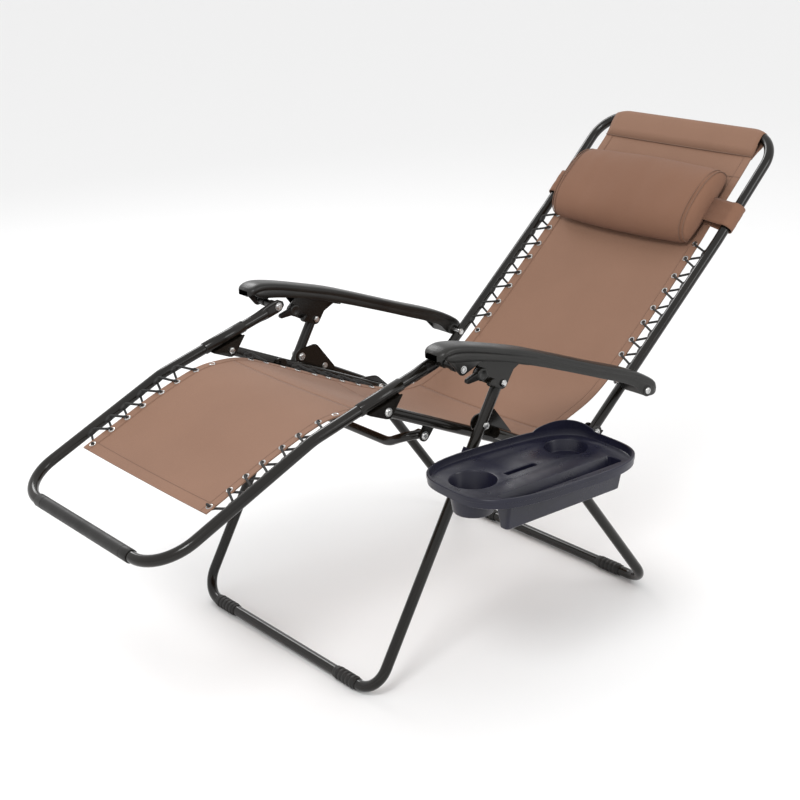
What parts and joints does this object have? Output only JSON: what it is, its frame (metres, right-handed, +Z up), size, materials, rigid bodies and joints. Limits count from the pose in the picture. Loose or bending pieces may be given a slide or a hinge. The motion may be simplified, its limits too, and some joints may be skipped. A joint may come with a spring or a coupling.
{
  "type": "zero gravity recliner",
  "caption": "Folding steel-tube lounge chair with a laced fabric sling, head pillow, sliding armrests and a clip-on side tray",
  "frame": {"origin": "centre of the box on the floor", "axes": "+X towards the side that carries the tray, +Y from the foot end to the head end, +Z up"},
  "size_m": [0.9372, 1.6646, 0.937],
  "materials": {
    "black_steel": "gloss black powder coat on 22 mm steel tube",
    "black_plastic": "moulded black plastic with a fine grain",
    "fabric": "brown woven mesh sling",
    "cord": "black elastic cord",
    "bright_steel": "plated bolts",
    "tray_plastic": "dark navy moulded plastic"
  },
  "bodies": {
    "front_legs": {"front_leg_tube": "black_steel", "leg_pivot_bolt_left": "bright_steel", "leg_pivot_bolt_right": "bright_steel", "front_foot_sleeve_left": "black_plastic", "front_foot_sleeve_right": "black_plastic"},
    "rear_legs": {"rear_leg_tube": "black_steel", "rear_leg_bracket_left": "black_steel", "rear_leg_bracket_right": "black_steel", "rear_foot_sleeve_left": "black_plastic", "rear_foot_sleeve_right": "black_plastic", "seat_pivot_bolt_left": "bright_steel", "seat_pivot_bolt_right": "bright_steel"},
    "seat_frame": {"seat_rail_left": "black_steel", "seat_hanger_left": "black_steel", "seat_rail_right": "black_steel", "seat_hanger_right": "black_steel", "seat_cross_bar": "black_steel", "cross_bar_bracket_left": "black_steel", "cross_bar_bolt_left": "bright_steel", "cross_bar_bracket_right": "black_steel", "cross_bar_bolt_right": "bright_steel", "sling_seat": "fabric", "lacing_seat_left": "cord", "lacing_seat_right": "cord"},
    "knee_bolts": {"knee_bolt_left": "bright_steel", "knee_bolt_right": "bright_steel"},
    "foot_frame": {"foot_frame_tube": "black_steel", "foot_bar_sleeve": "black_plastic", "knee_gusset_left": "black_steel", "knee_gusset_right": "black_steel", "armrest_front_bolt_left": "bright_steel", "armrest_front_spacer_left": "black_plastic", "armrest_front_bolt_right": "bright_steel", "armrest_front_spacer_right": "black_plastic", "sling_calf": "fabric", "lacing_calf_left": "cord", "lacing_calf_right": "cord"},
    "back_bolts": {"back_pivot_bolt_left": "bright_steel", "back_pivot_bolt_right": "bright_steel"},
    "back_frame": {"back_frame_tube": "black_steel", "back_clevis_left": "black_steel", "back_clevis_right": "black_steel", "sling_back": "fabric", "lacing_back_left": "cord", "lacing_back_right": "cord"},
    "armrest_bolt_left": {"armrest_rear_bolt_left": "bright_steel"},
    "armrest_bolt_right": {"armrest_rear_bolt_right": "bright_steel"},
    "armrest_left": {"armrest_left": "black_plastic"},
    "armrest_right": {"armrest_right": "black_plastic"},
    "slide_bolt_left": {"slide_bolt_left": "bright_steel"},
    "slide_bolt_right": {"slide_bolt_right": "bright_steel"},
    "slide_block_left": {"slide_block_left": "black_steel"},
    "slide_block_right": {"slide_block_right": "black_steel"},
    "lock_lever_left": {"lock_lever_left": "black_plastic"},
    "lock_lever_right": {"lock_lever_right": "black_plastic"},
    "tray": {"tray": "tray_plastic", "tray_clip": "tray_plastic"},
    "head_pillow": {"head_pillow": "fabric", "pillow_strap_left": "fabric", "pillow_strap_right": "fabric"}
  },
  "joints": [
    {"name": "fold", "type": "hinge", "parent": "front_legs", "child": "rear_legs", "pos_m": [-0.12623, -0.1131, 0.4986], "axis": [-1, 0, 0], "range_deg": [0, 50.01]},
    {"name": "recline", "type": "hinge", "parent": "rear_legs", "child": "seat_frame", "pos_m": [-0.12623, 0.0729, 0.3936], "axis": [1, 0, 0], "range_deg": [-2.64, 8.8]},
    {"name": "knee_fold", "type": "hinge", "parent": "seat_frame", "child": "knee_bolts", "pos_m": [-0.12623, -0.3201, 0.5676], "axis": [1, 0, 0], "range_deg": [0, 55.49]},
    {"name": "knee_tilt", "type": "hinge", "parent": "knee_bolts", "child": "foot_frame", "pos_m": [-0.12623, -0.3201, 0.5676], "axis": [1, 0, 0], "range_deg": [-7.29, 23.14]},
    {"name": "back_fold", "type": "hinge", "parent": "seat_frame", "child": "back_bolts", "pos_m": [-0.12623, 0.1829, 0.3402], "axis": [1, 0, 0], "range_deg": [0, 41.73]},
    {"name": "back_tilt", "type": "hinge", "parent": "back_bolts", "child": "back_frame", "pos_m": [-0.12623, 0.1829, 0.3402], "axis": [1, 0, 0], "range_deg": [-5.3, 16.49]},
    {"name": "armrest_fold_left", "type": "hinge", "parent": "back_frame", "child": "armrest_bolt_left", "pos_m": [0.16377, 0.3179, 0.4726], "axis": [1, 0, 0], "range_deg": [-44.27, 0]},
    {"name": "armrest_tilt_left", "type": "hinge", "parent": "armrest_bolt_left", "child": "armrest_left", "pos_m": [0.16377, 0.3179, 0.4726], "axis": [1, 0, 0], "range_deg": [-17.98, 5.74]},
    {"name": "slide_fold_left", "type": "hinge", "parent": "front_legs", "child": "slide_bolt_left", "pos_m": [0.17677, -0.0701, 0.5756], "axis": [1, 0, 0], "range_deg": [-53.05, 0]},
    {"name": "slide_tilt_left", "type": "hinge", "parent": "slide_bolt_left", "child": "slide_block_left", "pos_m": [0.17677, -0.0701, 0.5756], "axis": [1, 0, 0], "range_deg": [-2.69, 7.81]},
    {"name": "lock_left", "type": "hinge", "parent": "slide_block_left", "child": "lock_lever_left", "pos_m": [0.20177, -0.1341, 0.6106], "axis": [1, 0, 0], "range_deg": [0, 60]},
    {"name": "armrest_fold_right", "type": "hinge", "parent": "back_frame", "child": "armrest_bolt_right", "pos_m": [-0.41623, 0.3179, 0.4726], "axis": [1, 0, 0], "range_deg": [-44.27, 0]},
    {"name": "armrest_tilt_right", "type": "hinge", "parent": "armrest_bolt_right", "child": "armrest_right", "pos_m": [-0.41623, 0.3179, 0.4726], "axis": [1, 0, 0], "range_deg": [-17.98, 5.74]},
    {"name": "slide_fold_right", "type": "hinge", "parent": "front_legs", "child": "slide_bolt_right", "pos_m": [-0.42923, -0.0701, 0.5756], "axis": [1, 0, 0], "range_deg": [-53.05, 0]},
    {"name": "slide_tilt_right", "type": "hinge", "parent": "slide_bolt_right", "child": "slide_block_right", "pos_m": [-0.42923, -0.0701, 0.5756], "axis": [1, 0, 0], "range_deg": [-2.69, 7.81]},
    {"name": "lock_right", "type": "hinge", "parent": "slide_block_right", "child": "lock_lever_right", "pos_m": [-0.40423, -0.1341, 0.6106], "axis": [1, 0, 0], "range_deg": [0, 60]},
    {"name": "tray_pull", "type": "slide", "parent": "front_legs", "child": "tray", "axis": [1, 0, 0], "range_m": [0, 0.08]},
    {"name": "pillow_slide", "type": "slide", "parent": "back_frame", "child": "head_pillow", "axis": [0, 0.7459, 0.6661], "range_m": [-0.1, 0.03]}
  ],
  "couplings": [
    {"joint": "knee_fold", "follows": "fold", "ratio": 1.0996},
    {"joint": "knee_tilt", "follows": "recline", "ratio": 2.5727},
    {"joint": "back_fold", "follows": "fold", "ratio": 0.82444},
    {"joint": "back_tilt", "follows": "recline", "ratio": 1.8171},
    {"joint": "armrest_fold_left", "follows": "fold", "ratio": -0.87522},
    {"joint": "armrest_tilt_left", "follows": "recline", "ratio": -1.9864},
    {"joint": "slide_fold_left", "follows": "fold", "ratio": -1.0508},
    {"joint": "slide_tilt_left", "follows": "recline", "ratio": 0.83068},
    {"joint": "armrest_fold_right", "follows": "fold", "ratio": -0.87522},
    {"joint": "armrest_tilt_right", "follows": "recline", "ratio": -1.9864},
    {"joint": "slide_fold_right", "follows": "fold", "ratio": -1.0508},
    {"joint": "slide_tilt_right", "follows": "recline", "ratio": 0.83068}
  ]
}
